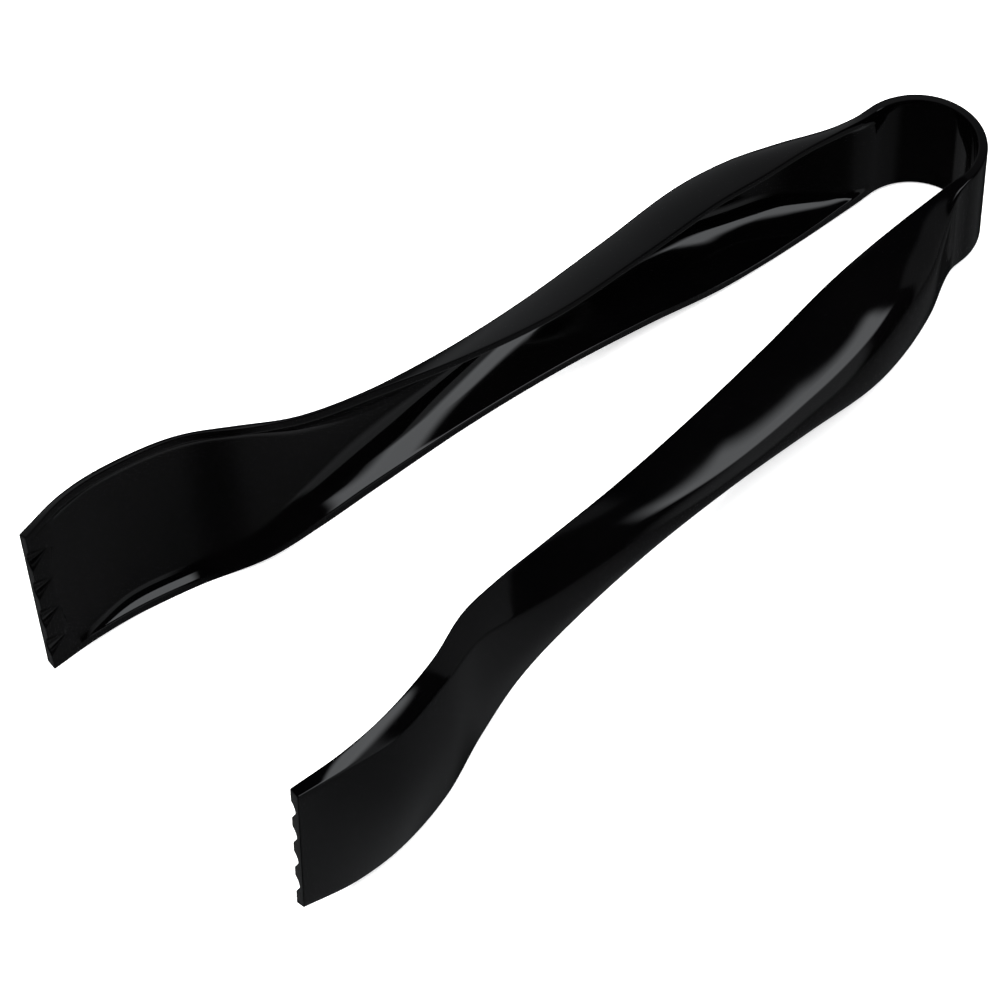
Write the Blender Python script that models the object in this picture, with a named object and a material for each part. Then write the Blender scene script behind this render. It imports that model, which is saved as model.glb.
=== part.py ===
"""Serving tongs moulded in one piece: a U-shaped spring bow and two channel-section arms with flared jaws.

The moulding is divided at its functional regions, so that the spring bow can flex at two hinge lines.
X runs from the jaws (-X) to the bow (+X), Y across the two arms, Z up along the width of the bow strip.
"""
import math

import bmesh
import bpy
from mathutils import Vector

MM = 0.001

# Driving dimensions, in millimetres.
LENGTH = 229.0
BOW_RADIUS = 15.2
STRIP_THICKNESS = 2.2
WALL = 1.9
MID_HEIGHT = 24.2
LEG_END = 7.0
GRIP_END = 62.0
SHANK_END = 146.0
JAW_END = 208.0
JOIN_GAP = 0.3
HINGE_GAP_DEG = 1.6
HINGE_RADIUS_FACTOR = 0.637
JAW_LEAN = 0.05
LEAN_START = 55.0
SCALLOPS = 4
SCALLOP_PITCH = 9.2
SCALLOP_WIDTH = 6.2
SCALLOP_DEPTH = 1.2
SCALLOP_LENGTH = 5.0
SCALLOP_LEAST_TAPER = 0.08
LEAST_RECESS = 0.02
LEAST_FLANGE = 1.5
WALL_EASE = 20.0
MOST_ROUNDED = 0.85
SHARP_FROM_DEG = 35.0
ROUGHNESS = 0.08
LIP_ROUGHNESS = 0.1

# Numbers of points along each part of a section, and of sections along each piece.
WEB_STEPS = 2
CORNER_STEPS = 4
FLANGE_STEPS = 5
CROWN_RINGS = 17
LEG_BOW_RINGS = 8
LEG_ARM_RINGS = 4
GRIP_RINGS = 13
SHANK_RINGS = 13
JAW_RINGS = 15
LIP_RINGS = 6

BOW_X = LENGTH / 2 - BOW_RADIUS
TIP_REACH = LENGTH - BOW_RADIUS

# Sections of one arm. Reach is measured from the bow's centre towards the jaws. The rim is the free edge
# that faces the other arm, the web is the outer wall, and the flange joins them. Gaps are from the middle
# plane, and heights from mid-height. Crown and belly are how far the flange and the web bulge. Corner rounds
# their edge outside, and hollow rounds it inside.
#    reach  rim gap  rim height  web gap  web height  crown  belly  corner  hollow
STATIONS = [
    (0.0,      13.0,   13.3,     15.2,     13.1,   0.00,   0.0,    0.4,    0.4),
    (4.0,      13.1,   13.6,     16.1,     12.1,   0.10,   0.0,    0.8,    0.8),
    (10.0,     13.6,   14.2,     19.3,      9.7,   0.45,   0.2,    1.4,    1.4),
    (20.0,     14.4,   15.0,     24.8,      8.2,   1.00,   0.6,    2.4,    2.4),
    (32.0,     15.1,   15.0,     28.8,      8.6,   1.30,   0.8,    3.2,    3.0),
    (45.0,     16.4,   14.9,     31.6,      7.1,   1.15,   0.7,    3.0,    3.0),
    (64.0,     18.1,   12.2,     32.5,      4.4,   0.80,   0.5,    2.6,    3.2),
    (88.0,     20.1,    9.9,     32.8,      2.9,   0.60,   0.4,    2.2,    3.4),
    (112.0,    23.2,   11.5,     32.7,      4.4,   0.50,   0.5,    1.8,    4.6),
    (136.0,    26.6,   15.7,     33.8,      7.2,   0.40,   0.6,    1.2,    4.0),
    (150.0,    28.6,   18.3,     34.8,     11.4,   0.40,   0.7,    0.9,    2.8),
    (162.0,    31.7,   21.4,     37.0,     17.4,   0.25,   0.8,    0.8,    1.8),
    (175.0,    37.5,   23.9,     41.7,     20.2,   0.15,   1.0,    0.7,    1.6),
    (190.0,    41.0,   24.1,     45.0,     20.4,   0.15,   1.0,    0.5,    1.6),
    (202.0,    41.8,   23.6,     44.6,     21.3,   0.10,   0.5,    0.4,    1.6),
    (214.0,    40.2,   21.3,     42.5,     20.6,   0.00,   0.0,    0.3,    1.6),
]
RIM_GAP, RIM_HEIGHT, WEB_GAP, WEB_HEIGHT, CROWN, BELLY, CORNER, HOLLOW = 1, 2, 3, 4, 5, 6, 7, 8

ARMS = {"left": -1, "right": 1}


def clear_scene():
    for item in list(bpy.data.objects):
        bpy.data.objects.remove(item)


def make_collection(name):
    collection = bpy.data.collections.new(name)
    bpy.context.scene.collection.children.link(collection)
    return collection


def plastic(name, roughness):
    material = bpy.data.materials.new(name)
    material.use_nodes = True
    shader = material.node_tree.nodes["Principled BSDF"]
    shader.inputs["Base Color"].default_value = (0.006, 0.006, 0.007, 1.0)
    shader.inputs["Roughness"].default_value = roughness
    shader.inputs["Metallic"].default_value = 0.0
    return material


def station_slope(index, column):
    before = STATIONS[max(index - 1, 0)]
    after = STATIONS[min(index + 1, len(STATIONS) - 1)]
    return (after[column] - before[column]) / (after[0] - before[0])


def along(reach, column):
    """A smooth value between the stations, by cubic Hermite pieces."""
    reach = min(max(reach, STATIONS[0][0]), STATIONS[-1][0])
    index = 0
    while index < len(STATIONS) - 2 and reach > STATIONS[index + 1][0]:
        index += 1
    low, high = STATIONS[index], STATIONS[index + 1]
    span = high[0] - low[0]
    t = (reach - low[0]) / span
    from_low = low[column] * (1 + 2 * t) * (1 - t) ** 2
    from_high = high[column] * t * t * (3 - 2 * t)
    leaving = station_slope(index, column) * t * (1 - t) ** 2
    arriving = station_slope(index + 1, column) * t * t * (1 - t)
    return from_low + from_high + (leaving - arriving) * span


def lean(reach):
    """Each arm is set slightly outwards at its upper edge, more towards the jaw."""
    return JAW_LEAN * max(0.0, reach - LEAN_START) / (TIP_REACH - LEAN_START)


def eased(share):
    share = min(max(share, 0.0), 1.0)
    return share * share * (3 - 2 * share)


def wall_thickness(reach):
    """The bow strip's thickness, easing to the arm's thinner wall."""
    return STRIP_THICKNESS + (WALL - STRIP_THICKNESS) * eased(reach / WALL_EASE)


def bend(curve, t):
    """A point on a curve that leaves its start and meets its end in the directions of its middle point."""
    start, middle, end = curve
    return start * (1 - t) ** 2 + middle * (2 * t * (1 - t)) + end * (t * t)


def section_curves(reach):
    """The outer web, outer flange, inner flange and inner web of the upper half of an arm's section."""
    rim = Vector((along(reach, RIM_GAP), along(reach, RIM_HEIGHT)))
    edge = Vector((along(reach, WEB_GAP), along(reach, WEB_HEIGHT)))
    crown, belly, wall = along(reach, CROWN), along(reach, BELLY), wall_thickness(reach)
    chord = rim - edge
    outward = Vector((chord.y, -chord.x)).normalized()
    web_bend = Vector((edge.x + belly, edge.y / 2))
    flange_bend = (rim + edge) / 2 + outward * (2 * crown)

    inner_rim = Vector((rim.x, rim.y - wall * (rim - flange_bend).length / abs(rim.x - flange_bend.x)))
    down_web, up_flange = (web_bend - edge).normalized(), (flange_bend - edge).normalized()
    depth = wall / math.sqrt((1 - down_web.dot(up_flange)) / 2)
    inner_edge = edge + (down_web + up_flange).normalized() * depth
    inner_edge.x = max(inner_edge.x, rim.x + LEAST_RECESS)
    inner_edge.y = min(inner_edge.y, inner_rim.y - LEAST_FLANGE)
    share = (inner_rim - inner_edge).length / chord.length
    inner_bend = (inner_rim + inner_edge) / 2 + outward * (2 * crown * share)
    inner_gap = max(edge.x + belly - wall, inner_edge.x)
    return [
        (Vector((edge.x + belly, 0.0)), web_bend, edge),
        (edge, flange_bend, rim),
        (inner_rim, inner_bend, inner_edge),
        (inner_edge, Vector((inner_gap, inner_edge.y / 2)), Vector((inner_gap, 0.0))),
    ]


def wall_line(web, flange, corner):
    """Points from the middle of the web, round the corner, to the rim."""
    web_end = 1 - min(corner / (2 * (web[2] - web[1]).length), MOST_ROUNDED)
    flange_start = min(corner / (2 * (flange[1] - flange[0]).length), MOST_ROUNDED)
    first, last = bend(web, web_end), bend(flange, flange_start)
    points = [bend(web, web_end * k / WEB_STEPS) for k in range(WEB_STEPS)]
    points += [bend((first, web[2], last), k / CORNER_STEPS) for k in range(CORNER_STEPS)]
    points += [bend(flange, t) for t in spread(flange_start, 1.0, FLANGE_STEPS + 1)]
    return points


def mirror_profile(half):
    """The whole wall, from the lower rim to the upper rim."""
    half = [tuple(point) for point in half]
    lower = [(y, -z) for y, z in reversed(half[1:])]
    return lower + half


def channel_section(reach):
    """Outer and inner wall of the arm's channel at one reach."""
    web, flange, inner_flange, inner_web = section_curves(reach)
    outer = wall_line(web, flange, along(reach, CORNER))
    inner = wall_line(inner_web[::-1], inner_flange[::-1], along(reach, HOLLOW))
    return mirror_profile(outer), mirror_profile(inner)


def scallop_lines(inboard):
    """Heights and cut depths across the scalloped lip; each scallop narrows to a point behind the edge."""
    taper = max(SCALLOP_LEAST_TAPER, 1 - inboard / SCALLOP_LENGTH)
    lines = []
    for index in range(SCALLOPS):
        centre = (index - (SCALLOPS - 1) / 2) * SCALLOP_PITCH
        for t in (-1.0, -0.6, 0.0, 0.6, 1.0):
            height = centre + t * SCALLOP_WIDTH / 2 * taper
            lines.append((height, SCALLOP_DEPTH * taper * (1 - t * t)))
    return lines


def lip_section(reach):
    """Outer face and scalloped inner face of the jaw's solid lip."""
    rim_gap, rim_height = along(reach, RIM_GAP), along(reach, RIM_HEIGHT)
    web_gap, web_height = along(reach, WEB_GAP), along(reach, WEB_HEIGHT)
    inner = [(rim_gap, -rim_height)]
    inner += [(rim_gap + cut, height) for height, cut in scallop_lines(TIP_REACH - reach)]
    inner.append((rim_gap, rim_height))
    outer = [(web_gap, web_height * height / rim_height) for _, height in inner]
    return outer, inner


def place_on_arm(section, reach, side):
    """Puts a section across the arm, at its reach."""
    outer, inner = section
    ring = []
    for gap, height in outer + inner[::-1]:
        across = side * (gap + lean(reach) * height)
        ring.append((BOW_X - reach, across, MID_HEIGHT + height))
    return ring


def place_on_bow(section, angle, side):
    """Puts a section across the bow's arc, at an angle from its crown."""
    outer, inner = section
    ring = []
    for gap, height in outer + inner[::-1]:
        x = BOW_X + gap * math.cos(angle)
        ring.append((x, side * gap * math.sin(angle), MID_HEIGHT + height))
    return ring


def spread(start, end, count):
    return [start + (end - start) * step / (count - 1) for step in range(count)]


def loft(name, rings, collection, material, pivot):
    """A closed solid through rings; each ring runs up its outer wall and back down its inner wall."""
    mesh = bpy.data.meshes.new(name)
    body = bmesh.new()
    origin = pivot.location if pivot else (0.0, 0.0, 0.0)
    levels = []
    for ring in rings:
        levels.append([body.verts.new([MM * v - o for v, o in zip(point, origin)]) for point in ring])
    size = len(rings[0])
    for lower, upper in zip(levels, levels[1:]):
        for k in range(size):
            after = (k + 1) % size
            body.faces.new((lower[k], lower[after], upper[after], upper[k]))
    for level in (levels[0], levels[-1]):
        for k in range(size // 2 - 1):
            body.faces.new((level[k], level[k + 1], level[size - 2 - k], level[size - 1 - k]))
    bmesh.ops.recalc_face_normals(body, faces=body.faces)
    body.to_mesh(mesh)
    body.free()
    mesh.shade_smooth()
    mesh.set_sharp_from_angle(angle=math.radians(SHARP_FROM_DEG))
    mesh.materials.append(material)
    item = bpy.data.objects.new(name, mesh)
    item.parent = pivot
    collection.objects.link(item)
    return item


def hinge_pivot(name, side, collection):
    """An empty on the line about which a quarter of the bow bends."""
    pivot = bpy.data.objects.new(name, None)
    offset = HINGE_RADIUS_FACTOR * BOW_RADIUS
    pivot.location = (MM * (BOW_X + offset), MM * side * offset, MM * MID_HEIGHT)
    collection.objects.link(pivot)
    return pivot


def bow_crown(collection):
    """The plain strip round the crown of the bow, between the two hinge lines."""
    half_angle = math.radians(45 - HINGE_GAP_DEG / 2)
    half_width = STATIONS[0][RIM_HEIGHT]
    outer = [(BOW_RADIUS, -half_width), (BOW_RADIUS, half_width)]
    inner_radius = BOW_RADIUS - STRIP_THICKNESS
    inner = [(inner_radius, -half_width), (inner_radius, half_width)]
    angles = spread(-half_angle, half_angle, CROWN_RINGS)
    rings = [place_on_bow((outer, inner), angle, 1) for angle in angles]
    loft("bow_crown", rings, collection, plastic("bow_crown_plastic", ROUGHNESS), None)


def bow_leg(hand, side, collection, pivot):
    """The bow from a hinge line to where the strip has opened into the arm's channel."""
    angles = spread(math.radians(45 + HINGE_GAP_DEG / 2), math.radians(90), LEG_BOW_RINGS)
    strip = channel_section(0.0)
    rings = [place_on_bow(strip, angle, side) for angle in angles]
    arm_reaches = spread(0.0, LEG_END, LEG_ARM_RINGS)[1:]
    rings += [place_on_arm(channel_section(reach), reach, side) for reach in arm_reaches]
    loft(hand + "_bow_leg", rings, collection, plastic(hand + "_bow_leg_plastic", ROUGHNESS), pivot)


def channel(name, start, end, count, side, collection, pivot):
    rings = [place_on_arm(channel_section(reach), reach, side) for reach in spread(start, end, count)]
    loft(name, rings, collection, plastic(name + "_plastic", ROUGHNESS), pivot)


def tooth_strip(hand, side, collection, pivot):
    """The solid lip at the end of the jaw, scalloped into teeth on its gripping face."""
    reaches = spread(JAW_END + JOIN_GAP, TIP_REACH, LIP_RINGS)
    rings = [place_on_arm(lip_section(reach), reach, side) for reach in reaches]
    material = plastic(hand + "_tooth_strip_plastic", LIP_ROUGHNESS)
    loft(hand + "_tooth_strip", rings, collection, material, pivot)


def arm(hand, side, collection):
    pivot = hinge_pivot(hand + "_pivot", side, collection)
    bow_leg(hand, side, collection, pivot)
    channel(hand + "_grip", LEG_END + JOIN_GAP, GRIP_END, GRIP_RINGS, side, collection, pivot)
    channel(hand + "_shank", GRIP_END + JOIN_GAP, SHANK_END, SHANK_RINGS, side, collection, pivot)
    channel(hand + "_jaw", SHANK_END + JOIN_GAP, JAW_END, JAW_RINGS, side, collection, pivot)
    tooth_strip(hand, side, collection, pivot)


def main():
    clear_scene()
    collection = make_collection("serving_tongs")
    bow_crown(collection)
    for hand, side in ARMS.items():
        arm(hand, side, collection)


main()
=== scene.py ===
import math

import bmesh
import bpy
import numpy as np
from mathutils import Matrix, Vector


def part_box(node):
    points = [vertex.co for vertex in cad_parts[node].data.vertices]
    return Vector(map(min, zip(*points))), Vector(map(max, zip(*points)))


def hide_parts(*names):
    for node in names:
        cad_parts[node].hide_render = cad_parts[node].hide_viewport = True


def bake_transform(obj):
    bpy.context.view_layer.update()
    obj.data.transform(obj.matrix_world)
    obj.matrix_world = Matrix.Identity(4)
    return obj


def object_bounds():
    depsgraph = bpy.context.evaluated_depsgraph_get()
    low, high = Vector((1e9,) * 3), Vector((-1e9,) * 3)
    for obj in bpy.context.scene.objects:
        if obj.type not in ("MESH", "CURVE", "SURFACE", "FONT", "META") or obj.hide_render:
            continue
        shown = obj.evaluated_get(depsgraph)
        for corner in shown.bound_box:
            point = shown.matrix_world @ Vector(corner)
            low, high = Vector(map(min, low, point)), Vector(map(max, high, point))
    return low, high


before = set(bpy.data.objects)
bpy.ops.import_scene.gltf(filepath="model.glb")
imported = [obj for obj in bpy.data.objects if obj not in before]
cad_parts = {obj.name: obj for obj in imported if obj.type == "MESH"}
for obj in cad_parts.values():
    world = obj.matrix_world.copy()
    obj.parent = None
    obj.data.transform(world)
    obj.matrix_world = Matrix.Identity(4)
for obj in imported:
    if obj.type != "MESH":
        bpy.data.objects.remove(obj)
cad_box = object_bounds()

# One-piece serving tongs: the smooth skins of the two half mouldings, the black plastic and the studio.

MM = 0.001

# Driving dimensions, in millimetres. The overall ones are read from the frame, which is in metres. The lip
# reaches in from the end by LIP_MIDDLE at mid-height and by LIP_EDGE at LIP_EDGE_HEIGHT above it, and falls
# to the dish within LIP_STEP.
CROWN_LOW, CROWN_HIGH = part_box("bow_crown")
LENGTH = (cad_box[1].x - cad_box[0].x) / MM
MID_HEIGHT = (CROWN_LOW.z + CROWN_HIGH.z) / 2 / MM
BOW_RADIUS = 15.2
BOW_X = CROWN_HIGH.x / MM - BOW_RADIUS
TIP_REACH = LENGTH - BOW_RADIUS
STRIP_THICKNESS = 2.2
WALL = 1.9
WALL_EASE = 20.0
LEAST_RECESS = 0.02
LEAST_FLANGE = 1.5
LEAN_START = 55.0
SCALLOPS_PER_HALF = 2
SCALLOP_PITCH = 9.2
SCALLOP_WIDTH = 6.2
SCALLOP_DEPTH = 1.2
SCALLOP_LENGTH = 5.0
LIP_REGION = 20.0
LIP_MIDDLE = 4.9
LIP_EDGE = 7.9
LIP_EDGE_HEIGHT = 20.0
LIP_STEP = 0.7
LAST_LAND = 0.5
RIM_FILLET = 0.35
END_FILLET = 0.12
FLOOR_LOW_REACH = 190.0

# Shares of a length, the jaws' slope from upright, the angle from which an edge is sharp, and the least
# length that a direction is worked out from.
MOST_ROUNDED = 0.85
RIM_ROUNDED = 0.2
SCALLOP_LEAST_TAPER = 0.08
JAW_LEAN = 0.05
SHARP_FROM_DEG = 24.0
SMALLEST_LENGTH = 1e-9

# The floor and the light above it, in metres and watts.
FLOOR_SIZE = 6.0
FLOOR_CLEARANCE = 0.0002
FILL_HEIGHT = 2.2
FILL_SIZE = 3.0
FILL_POWER = 150.0

# Sections of one arm, as in the CAD model. Reach is measured from the bow's centre towards the jaws. The
# rim is the free edge that faces the other arm, the web is the outer wall, and the flange joins them. Gaps
# are from the middle plane, and heights from mid-height. Crown and belly are how far the flange and the web
# bulge. Corner rounds their edge outside, and hollow rounds it inside.
#    reach  rim gap  rim height  web gap  web height  crown  belly  corner  hollow
STATIONS = [
    (0.0,      13.0,   13.3,     15.2,     13.1,   0.00,   0.0,    0.4,    0.4),
    (4.0,      13.1,   13.6,     16.1,     12.1,   0.10,   0.0,    0.8,    0.8),
    (10.0,     13.6,   14.2,     19.3,      9.7,   0.45,   0.2,    1.4,    1.4),
    (20.0,     14.4,   15.0,     24.8,      8.2,   1.00,   0.6,    2.4,    2.4),
    (32.0,     15.1,   15.0,     28.8,      8.6,   1.30,   0.8,    3.2,    3.0),
    (45.0,     16.4,   14.9,     31.6,      7.1,   1.15,   0.7,    3.0,    3.0),
    (64.0,     18.1,   12.2,     32.5,      4.4,   0.80,   0.5,    2.6,    3.2),
    (88.0,     20.1,    9.9,     32.8,      2.9,   0.60,   0.4,    2.2,    3.4),
    (112.0,    23.2,   11.5,     32.7,      4.4,   0.50,   0.5,    1.8,    4.6),
    (136.0,    26.6,   15.7,     33.8,      7.2,   0.40,   0.6,    1.2,    4.0),
    (150.0,    28.6,   18.3,     34.8,     11.4,   0.40,   0.7,    0.9,    2.8),
    (162.0,    31.7,   21.4,     37.0,     17.4,   0.25,   0.8,    0.8,    1.8),
    (175.0,    37.5,   23.9,     41.7,     20.2,   0.15,   1.0,    0.7,    1.6),
    (190.0,    41.0,   24.1,     45.0,     20.4,   0.15,   1.0,    0.5,    1.6),
    (202.0,    41.8,   23.6,     44.6,     21.3,   0.10,   0.5,    0.4,    1.6),
    (214.0,    40.2,   21.3,     42.5,     20.6,   0.00,   0.0,    0.3,    1.6),
]
RIM_GAP, RIM_HEIGHT, WEB_GAP, WEB_HEIGHT, CROWN, BELLY, CORNER, HOLLOW = 1, 2, 3, 4, 5, 6, 7, 8

# Columns of faces along the parts of half a section.
OUTER_WEB_COLUMNS = 10
CORNER_COLUMNS = 8
HOLLOW_COLUMNS = 14
FLANGE_COLUMNS = 14
RIM_COLUMNS = (4, 2, 4)
INNER_FLANGE_COLUMNS = 10
SCALLOP_COLUMNS = 10
LAND_COLUMNS = (2, 4, 2)
WEB_COLUMNS = sum(LAND_COLUMNS) + SCALLOPS_PER_HALF * SCALLOP_COLUMNS

# Rings round a quarter of the bow, at angles in degrees, then along the arm and round its end.
CROWN_ANGLES = [0.0, 0.1, 0.35, 0.8, 1.5]
EVEN_ANGLES_FROM = 3.0
BOW_RINGS = 45
RING_STEP = 1.4
FINE_LENGTH = 11.5
FINE_GAP = 0.5
FINE_RINGS = 46
END_FILLET_RINGS = 3

# Studio panels: brightness, then centre, half-width and soft edge in degrees for the turn about the
# vertical and for the drop from the zenith.
PANELS = [
    (1.9, (-72.0, 26.0, 7.0), (51.5, 10.5, 8.0)),
    (0.26, (-76.0, 16.0, 8.0), (88.0, 28.0, 14.0)),
    (0.10, (-18.0, 17.0, 4.0), (82.0, 26.0, 8.0)),
    (0.12, (62.0, 34.0, 26.0), (74.0, 38.0, 22.0)),
    (0.05, (-45.0, 52.0, 24.0), (145.0, 34.0, 14.0)),
    (0.07, (-55.0, 45.0, 20.0), (166.0, 14.0, 14.0)),
    (0.10, (128.0, 16.0, 8.0), (144.0, 12.0, 6.0)),
    (0.006, (0.0, 200.0, 1.0), (150.0, 42.0, 16.0)),
    (0.003, (0.0, 200.0, 1.0), (90.0, 100.0, 10.0)),
]

SIDES = {"left": -1, "right": 1}
ARM_REGIONS = ["bow_leg", "grip", "shank", "jaw", "tooth_strip"]


def station_slope(index, column):
    """The slope at a station, from the stations on either side of it."""
    before = STATIONS[max(index - 1, 0)]
    after = STATIONS[min(index + 1, len(STATIONS) - 1)]
    return (after[column] - before[column]) / (after[0] - before[0])


def along(reach, column):
    """A smooth value between the stations, by cubic Hermite pieces."""
    reach = min(max(reach, STATIONS[0][0]), STATIONS[-1][0])
    index = 0
    while index < len(STATIONS) - 2 and reach > STATIONS[index + 1][0]:
        index += 1
    low, high = STATIONS[index], STATIONS[index + 1]
    span = high[0] - low[0]
    t = (reach - low[0]) / span
    from_low = low[column] * (1 + 2 * t) * (1 - t) ** 2
    from_high = high[column] * t * t * (3 - 2 * t)
    leaving = station_slope(index, column) * t * (1 - t) ** 2
    arriving = station_slope(index + 1, column) * t * t * (1 - t)
    return from_low + from_high + (leaving - arriving) * span


def lean(reach):
    """How far an arm's section slopes outwards for each unit of height."""
    return JAW_LEAN * max(0.0, reach - LEAN_START) / (TIP_REACH - LEAN_START)


def eased(share):
    """A share of the way, held between nothing and one, with a gentle start and end."""
    share = min(max(share, 0.0), 1.0)
    return share * share * (3 - 2 * share)


def wall_thickness(reach):
    """The bow strip's thickness, easing to the arm's thinner wall."""
    return STRIP_THICKNESS + (WALL - STRIP_THICKNESS) * eased(reach / WALL_EASE)


def bend(curve, t):
    """A point on a curve that leaves its start and meets its end in the directions of its middle point."""
    start, middle, end = curve
    return start * (1 - t) ** 2 + middle * (2 * t * (1 - t)) + end * (t * t)


def section_curves(reach):
    """The outer web, outer flange, inner flange and inner web of the upper half of an arm's section."""
    rim = Vector((along(reach, RIM_GAP), along(reach, RIM_HEIGHT)))
    edge = Vector((along(reach, WEB_GAP), along(reach, WEB_HEIGHT)))
    crown, belly, wall = along(reach, CROWN), along(reach, BELLY), wall_thickness(reach)
    chord = rim - edge
    outward = Vector((chord.y, -chord.x)).normalized()
    web_bend = Vector((edge.x + belly, edge.y / 2))
    flange_bend = (rim + edge) / 2 + outward * (2 * crown)

    inner_rim = Vector((rim.x, rim.y - wall * (rim - flange_bend).length / abs(rim.x - flange_bend.x)))
    down_web, up_flange = (web_bend - edge).normalized(), (flange_bend - edge).normalized()
    depth = wall / math.sqrt((1 - down_web.dot(up_flange)) / 2)
    inner_edge = edge + (down_web + up_flange).normalized() * depth
    inner_edge.x = max(inner_edge.x, rim.x + LEAST_RECESS)
    inner_edge.y = min(inner_edge.y, inner_rim.y - LEAST_FLANGE)
    share = (inner_rim - inner_edge).length / chord.length
    inner_bend = (inner_rim + inner_edge) / 2 + outward * (2 * crown * share)
    inner_gap = max(edge.x + belly - wall, inner_edge.x)
    return [
        (Vector((edge.x + belly, 0.0)), web_bend, edge),
        (edge, flange_bend, rim),
        (inner_rim, inner_bend, inner_edge),
        (inner_edge, Vector((inner_gap, inner_edge.y / 2)), Vector((inner_gap, 0.0))),
    ]


def lip_columns(highest, taper):
    """Heights and scallop depths of the inner web's columns, which gather at the scallops."""
    half = SCALLOP_WIDTH / 2 * taper
    heights = [0.0]
    depths = [0.0]
    for index in range(SCALLOPS_PER_HALF):
        centre = (index + 0.5) * SCALLOP_PITCH
        start = heights[-1]
        for k in range(1, LAND_COLUMNS[index] + 1):
            heights.append(start + (centre - half - start) * k / LAND_COLUMNS[index])
            depths.append(0.0)
        for k in range(1, SCALLOP_COLUMNS + 1):
            t = 2 * k / SCALLOP_COLUMNS - 1
            heights.append(centre + t * half)
            depths.append(1 - t * t)
    start = heights[-1]
    for k in range(1, LAND_COLUMNS[-1] + 1):
        heights.append(start + (highest - start) * k / LAND_COLUMNS[-1])
        depths.append(0.0)
    return np.array(heights[::-1]), np.array(depths[::-1])


def run(curve, start, end, count):
    """Points along part of a curve, without its last one."""
    return [bend(curve, start + (end - start) * k / count) for k in range(count)]


def round_off(before, corner, after, count):
    """Points round a corner, from one side of it to the other, without the last one."""
    return run((before, corner, after), 0.0, 1.0, count)


def cut_share(curve, cut, at_end=False):
    """How far along a curve a rounding of one size reaches from its start, or from its end."""
    leg = (curve[2] - curve[1]).length if at_end else (curve[1] - curve[0]).length
    share = min(cut / (2 * leg), MOST_ROUNDED)
    return 1 - share if at_end else share


def half_section(reach):
    """Gaps and heights round half of an arm's section, from the outer middle over the rim to the inner."""
    web, flange, inner_flange, inner_web = section_curves(reach)
    corner, hollow = along(reach, CORNER), along(reach, HOLLOW)
    web_end, flange_start = cut_share(web, corner, True), cut_share(flange, corner)
    flange_end = cut_share(flange, RIM_FILLET, True)
    inner_start = min(cut_share(inner_flange, RIM_FILLET), RIM_ROUNDED)
    inner_end, inner_web_start = cut_share(inner_flange, hollow, True), cut_share(inner_web, hollow)
    rim, inner_rim = flange[2], inner_flange[0]
    edge_start, edge_end = rim.lerp(inner_rim, RIM_ROUNDED), rim.lerp(inner_rim, 1 - RIM_ROUNDED)

    points = run(web, 0.0, web_end, OUTER_WEB_COLUMNS)
    points += round_off(bend(web, web_end), web[2], bend(flange, flange_start), CORNER_COLUMNS)
    points += run(flange, flange_start, flange_end, FLANGE_COLUMNS)
    points += round_off(bend(flange, flange_end), rim, edge_start, RIM_COLUMNS[0])
    points += [edge_start.lerp(edge_end, k / RIM_COLUMNS[1]) for k in range(RIM_COLUMNS[1])]
    points += round_off(edge_end, inner_rim, bend(inner_flange, inner_start), RIM_COLUMNS[2])
    points += run(inner_flange, inner_start, inner_end, INNER_FLANGE_COLUMNS)
    points += round_off(
        bend(inner_flange, inner_end), inner_web[0], bend(inner_web, inner_web_start), HOLLOW_COLUMNS
    )
    points += run(inner_web, inner_web_start, 1.0, WEB_COLUMNS) + [inner_web[2]]
    return lip(np.array([tuple(point) for point in points]), reach)


def lip(points, reach):
    """Fills the dish to a flat lip near the end and cuts the scallops into it."""
    inboard = TIP_REACH - reach
    if inboard > LIP_REGION:
        return points
    web_start = len(points) - WEB_COLUMNS - 1
    hollow_start = web_start - HOLLOW_COLUMNS
    flange_start = hollow_start - INNER_FLANGE_COLUMNS

    # The columns slide along the dish's own curve, from its even spacing to the scallops' spacing.
    taper = max(SCALLOP_LEAST_TAPER, 1 - inboard / SCALLOP_LENGTH)
    highest = (SCALLOPS_PER_HALF - 0.5) * SCALLOP_PITCH + SCALLOP_WIDTH / 2 + LAST_LAND
    gathered, depths = lip_columns(highest, taper)
    above = np.linspace(points[hollow_start, 1], highest, HOLLOW_COLUMNS + 1)[:-1]
    even = eased((inboard - SCALLOP_LENGTH) / SCALLOP_LENGTH)
    dish = points[hollow_start:].copy()
    heights = np.concatenate([above, gathered]) * (1 - even) + dish[:, 1] * even
    points[hollow_start:, 0] = np.interp(heights, dish[::-1, 1], dish[::-1, 0])
    points[hollow_start:, 1] = heights

    rim_gap = along(reach, RIM_GAP)
    for k in range(flange_start, len(points)):
        boundary = LIP_MIDDLE + (LIP_EDGE - LIP_MIDDLE) * (points[k, 1] / LIP_EDGE_HEIGHT) ** 2
        kept = eased((inboard - boundary) / LIP_STEP + 0.5)
        points[k, 0] = rim_gap + (points[k, 0] - rim_gap) * kept
    points[web_start:, 0] += SCALLOP_DEPTH * max(0.0, 1 - inboard / SCALLOP_LENGTH) * depths
    return points


def full_section(half):
    """The closed section: the upper half, then its mirror image back to the start."""
    lower = half[-2:0:-1] * (1, -1)
    return np.vstack([half, lower])


def inset(section, amount):
    """Moves a section's outline into its own material."""
    tangent = np.roll(section, -1, axis=0) - np.roll(section, 1, axis=0)
    normal = np.stack([-tangent[:, 1], tangent[:, 0]], axis=1)
    normal /= np.maximum(np.linalg.norm(normal, axis=1), SMALLEST_LENGTH)[:, None]
    return section + normal * amount


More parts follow.
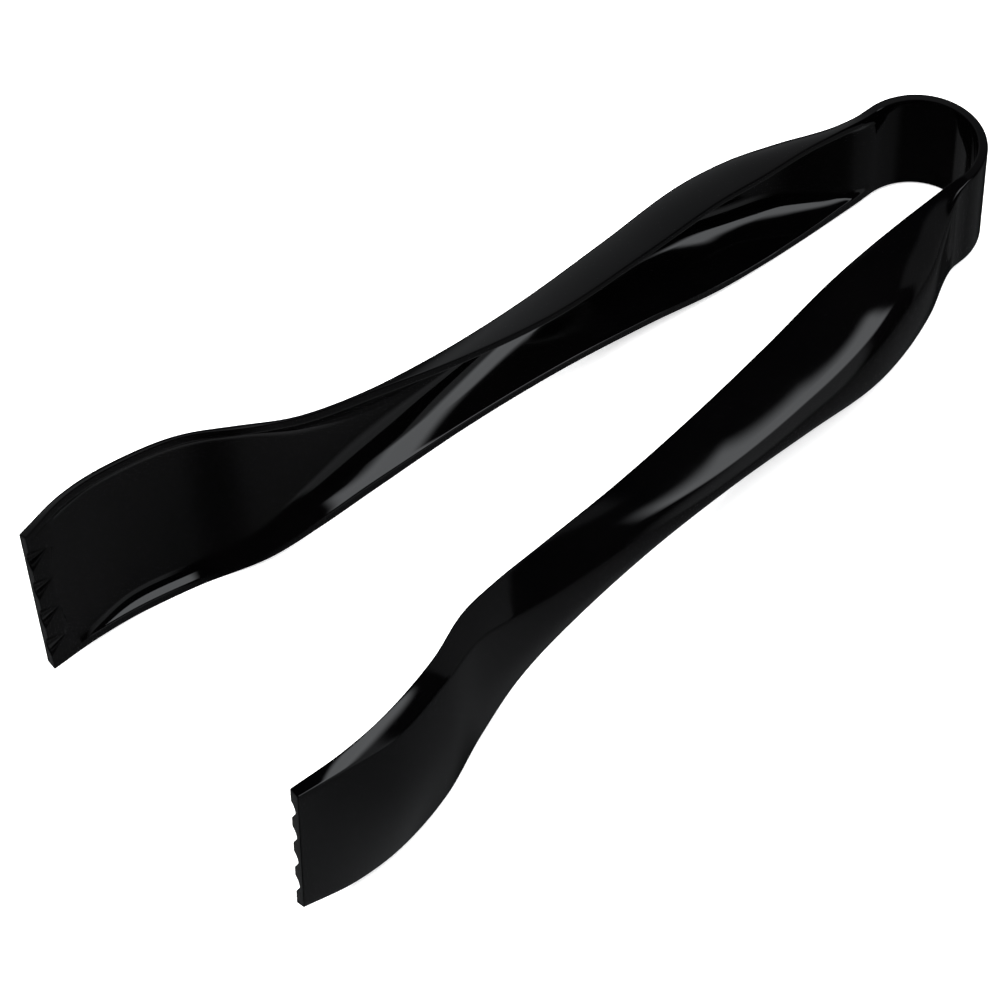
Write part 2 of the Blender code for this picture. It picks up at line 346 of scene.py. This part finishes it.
def bow_angles():
    """Angles round a quarter of the bow, close together at the crown where the two halves meet."""
    even = list(np.linspace(EVEN_ANGLES_FROM, 90.0, BOW_RINGS))
    return [math.radians(angle) for angle in CROWN_ANGLES + even]


def arm_reaches():
    """Reaches of an arm's rings, close together at the lip."""
    fine_start = TIP_REACH - FINE_LENGTH
    coarse = list(np.arange(RING_STEP, fine_start - FINE_GAP, RING_STEP))
    fine = list(np.linspace(fine_start, TIP_REACH - END_FILLET, FINE_RINGS))
    return coarse + fine


def rings(side):
    """Every ring of a half of the tongs, from the crown of the bow to the end of the jaw, in metres."""
    found = []
    strip = full_section(half_section(0.0))
    for angle in bow_angles():
        x = BOW_X + strip[:, 0] * math.cos(angle)
        y = side * strip[:, 0] * math.sin(angle)
        found.append(np.stack([x, y, MID_HEIGHT + strip[:, 1]], axis=1))
    for reach in arm_reaches():
        found.append(arm_ring(full_section(half_section(reach)), reach, side))
    end = full_section(half_section(TIP_REACH))
    for step in range(1, END_FILLET_RINGS + 1):
        turn = math.pi / 2 * step / END_FILLET_RINGS
        section = inset(end, END_FILLET * (1 - math.cos(turn)))
        found.append(arm_ring(section, TIP_REACH - END_FILLET * (1 - math.sin(turn)), side))
    return [ring * MM for ring in found]


def arm_ring(section, reach, side):
    """A section stood up at its reach, leaning as the arm does there."""
    y = side * (section[:, 0] + lean(reach) * section[:, 1])
    return np.stack([np.full(len(section), BOW_X - reach), y, MID_HEIGHT + section[:, 1]], axis=1)


def skin(name, side, material):
    """One half of the moulding as a closed surface."""
    mesh = bpy.data.meshes.new(name)
    body = bmesh.new()
    levels = [[body.verts.new(point) for point in ring] for ring in rings(side)]
    size = len(levels[0])
    for lower, upper in zip(levels, levels[1:]):
        for k in range(size):
            after = (k + 1) % size
            body.faces.new((lower[k], lower[after], upper[after], upper[k]))
    for face in body.faces:
        face.smooth = True
    for level in (levels[0], levels[-1]):
        outline = [body.edges.get((level[k], level[(k + 1) % size])) for k in range(size)]
        bmesh.ops.triangle_fill(body, edges=outline, use_beauty=True)
    bmesh.ops.recalc_face_normals(body, faces=body.faces)
    body.to_mesh(mesh)
    body.free()
    mesh.set_sharp_from_angle(angle=math.radians(SHARP_FROM_DEG))
    mesh.materials.append(material)
    item = bpy.data.objects.new(name, mesh)
    bpy.context.scene.collection.objects.link(item)
    return item


def noise(tree, vector, scale, detail):
    """The value of a noise texture, looked up by another node's vector."""
    texture = tree.nodes.new("ShaderNodeTexNoise")
    texture.inputs["Scale"].default_value = scale
    texture.inputs["Detail"].default_value = detail
    tree.links.new(vector, texture.inputs["Vector"])
    return texture.outputs["Fac"]


def bump(tree, height, strength, distance):
    """A node that tips the surface by a height's slopes."""
    node = tree.nodes.new("ShaderNodeBump")
    node.inputs["Strength"].default_value = strength
    node.inputs["Distance"].default_value = distance
    tree.links.new(height, node.inputs["Height"])
    return node


def black_plastic():
    """High-gloss black polystyrene, with uneven gloss, faint waviness and fine rubbing marks."""
    material = bpy.data.materials.new("black_plastic_gloss")
    material.use_nodes = True
    tree = material.node_tree
    nodes, links = tree.nodes, tree.links
    shader = nodes["Principled BSDF"]
    shader.inputs["IOR"].default_value = 1.55
    place = nodes.new("ShaderNodeTexCoord").outputs["Object"]

    tone = nodes.new("ShaderNodeValToRGB")
    tone.color_ramp.elements[0].position = 0.35
    tone.color_ramp.elements[0].color = (0.0004, 0.0004, 0.0005, 1.0)
    tone.color_ramp.elements[1].position = 0.7
    tone.color_ramp.elements[1].color = (0.0009, 0.0008, 0.0009, 1.0)
    links.new(noise(tree, place, scale=30.0, detail=3.0), tone.inputs["Fac"])
    links.new(tone.outputs["Color"], shader.inputs["Base Color"])

    gloss = nodes.new("ShaderNodeMapRange")
    gloss.inputs["From Min"].default_value = 0.35
    gloss.inputs["From Max"].default_value = 0.75
    gloss.inputs["To Min"].default_value = 0.05
    gloss.inputs["To Max"].default_value = 0.1
    links.new(noise(tree, place, scale=90.0, detail=5.0), gloss.inputs["Value"])
    links.new(gloss.outputs["Result"], shader.inputs["Roughness"])

    waves = bump(tree, noise(tree, place, scale=55.0, detail=1.0), strength=0.25, distance=0.00006)
    along_x = nodes.new("ShaderNodeMapping")
    along_x.inputs["Scale"].default_value = (0.15, 1.0, 1.0)
    links.new(place, along_x.inputs["Vector"])
    marks = noise(tree, along_x.outputs["Vector"], scale=900.0, detail=4.0)
    rubbed = bump(tree, marks, strength=0.12, distance=0.000004)
    links.new(waves.outputs["Normal"], rubbed.inputs["Normal"])
    links.new(rubbed.outputs["Normal"], shader.inputs["Normal"])
    return material


def floor_material():
    material = bpy.data.materials.new("pale_floor")
    material.use_nodes = True
    shader = material.node_tree.nodes["Principled BSDF"]
    shader.inputs["Base Color"].default_value = (0.92, 0.92, 0.92, 1.0)
    shader.inputs["Roughness"].default_value = 0.9
    shader.inputs["Specular IOR Level"].default_value = 0.0
    shader.inputs["Emission Color"].default_value = (1.0, 1.0, 1.0, 1.0)
    shader.inputs["Emission Strength"].default_value = 0.6
    return material


def make_floor():
    """A pale sheet just under the tongs, tilted to follow the jaws' lower edges and the bow's."""
    mesh = bpy.data.meshes.new("floor")
    body = bmesh.new()
    bmesh.ops.create_grid(body, x_segments=1, y_segments=1, size=FLOOR_SIZE)
    body.to_mesh(mesh)
    body.free()
    mesh.materials.append(floor_material())
    floor = bpy.data.objects.new("floor", mesh)
    bpy.context.scene.collection.objects.link(floor)
    low_x = MM * (BOW_X - FLOOR_LOW_REACH)
    rise = math.atan2(CROWN_LOW.z, CROWN_HIGH.x - low_x)
    floor.rotation_euler = (0.0, -rise, 0.0)
    floor.location = (low_x, 0.0, -FLOOR_CLEARANCE)
    floor.visible_glossy = False


def make_fill_light():
    """A broad soft light straight above, left out of what the gloss reflects."""
    light = bpy.data.lights.new("overhead_fill", "AREA")
    light.size = FILL_SIZE
    light.energy = FILL_POWER
    item = bpy.data.objects.new("overhead_fill", light)
    item.location = (0.0, 0.0, FILL_HEIGHT)
    item.visible_glossy = False
    bpy.context.scene.collection.objects.link(item)


def maths(tree, operation, *values):
    """The output of a maths node. Each value is a number or another node's output."""
    node = tree.nodes.new("ShaderNodeMath")
    node.operation = operation
    for place, value in zip(node.inputs, values):
        if isinstance(value, float):
            place.default_value = value
        else:
            tree.links.new(value, place)
    return node.outputs[0]


def window(tree, angle, centre, half, soft):
    """One within an angular window, falling smoothly to nothing over its soft edge."""
    away = maths(tree, "ABSOLUTE", maths(tree, "SUBTRACT", angle, math.radians(centre)))
    fade = tree.nodes.new("ShaderNodeMapRange")
    fade.interpolation_type = "SMOOTHSTEP"
    fade.inputs["From Min"].default_value = math.radians(half - soft / 2)
    fade.inputs["From Max"].default_value = math.radians(half + soft / 2)
    fade.inputs["To Min"].default_value = 1.0
    fade.inputs["To Max"].default_value = 0.0
    tree.links.new(away, fade.inputs["Value"])
    return fade.outputs["Result"]


def panel(tree, turn, drop, level, turn_window, drop_window):
    """The brightness of a studio panel, by direction: turn about the vertical and drop from the zenith."""
    across, down = window(tree, turn, *turn_window), window(tree, drop, *drop_window)
    return maths(tree, "MULTIPLY", maths(tree, "MULTIPLY", across, down), level)


def make_world():
    """A dark studio with a few soft panels for the reflections, and a white backdrop for the camera."""
    world = bpy.data.worlds.new("studio")
    bpy.context.scene.world = world
    world.use_nodes = True
    tree = world.node_tree
    nodes, links = tree.nodes, tree.links
    direction = nodes.new("ShaderNodeSeparateXYZ")
    links.new(nodes.new("ShaderNodeTexCoord").outputs["Generated"], direction.inputs["Vector"])
    turn = maths(tree, "ARCTAN2", direction.outputs["Y"], direction.outputs["X"])
    drop = maths(tree, "ARCCOSINE", direction.outputs["Z"])
    light = 0.0
    for level, turn_window, drop_window in PANELS:
        light = maths(tree, "ADD", light, panel(tree, turn, drop, level, turn_window, drop_window))

    studio = nodes["Background"]
    studio.inputs["Color"].default_value = (0.94, 0.97, 1.0, 1.0)
    links.new(light, studio.inputs["Strength"])
    white = nodes.new("ShaderNodeBackground")
    path = nodes.new("ShaderNodeLightPath")
    mix = nodes.new("ShaderNodeMixShader")
    links.new(path.outputs["Is Camera Ray"], mix.inputs["Fac"])
    links.new(studio.outputs["Background"], mix.inputs[1])
    links.new(white.outputs["Background"], mix.inputs[2])
    links.new(mix.outputs["Shader"], nodes["World Output"].inputs["Surface"])


def make_camera():
    """Looks down on the tongs from beyond the jaws, on the left arm's side."""
    azimuth, elevation, roll = math.radians(-40.15), math.radians(51.61), math.radians(-2.24)
    back = Vector((
        math.sin(azimuth) * math.cos(elevation),
        -math.cos(azimuth) * math.cos(elevation),
        math.sin(elevation),
    ))
    level = Vector((math.cos(azimuth), math.sin(azimuth), 0.0))
    right = math.cos(roll) * level + math.sin(roll) * back.cross(level)
    up = back.cross(right)
    camera = bpy.data.objects.new("camera", bpy.data.cameras.new("camera"))
    camera.data.lens = 146.7
    camera.data.sensor_width = 36.0
    camera.data.clip_start = 0.05
    camera.data.clip_end = 50.0
    turn = Matrix((right, up, back)).transposed()
    location = Vector((-0.36713, -0.40642, 0.68949))
    camera.matrix_world = Matrix.Translation(location) @ turn.to_4x4()
    bpy.context.scene.collection.objects.link(camera)
    bpy.context.scene.camera = camera


def make_tongs():
    """The two half mouldings, each running from the bow's crown round the bow and along its arm to the
    jaw's end, with the CAD parts they cover hidden.
    """
    material = black_plastic()
    for hand, side in SIDES.items():
        item = skin(hand + "_half_moulding", side, material)
        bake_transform(item)
        replaced = [hand + "_" + region for region in ARM_REGIONS]
        if hand == "left":
            replaced.append("bow_crown")
        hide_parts(*replaced)


make_camera()
make_tongs()
make_floor()
make_fill_light()
make_world()
bpy.context.scene.view_settings.view_transform = "Standard"
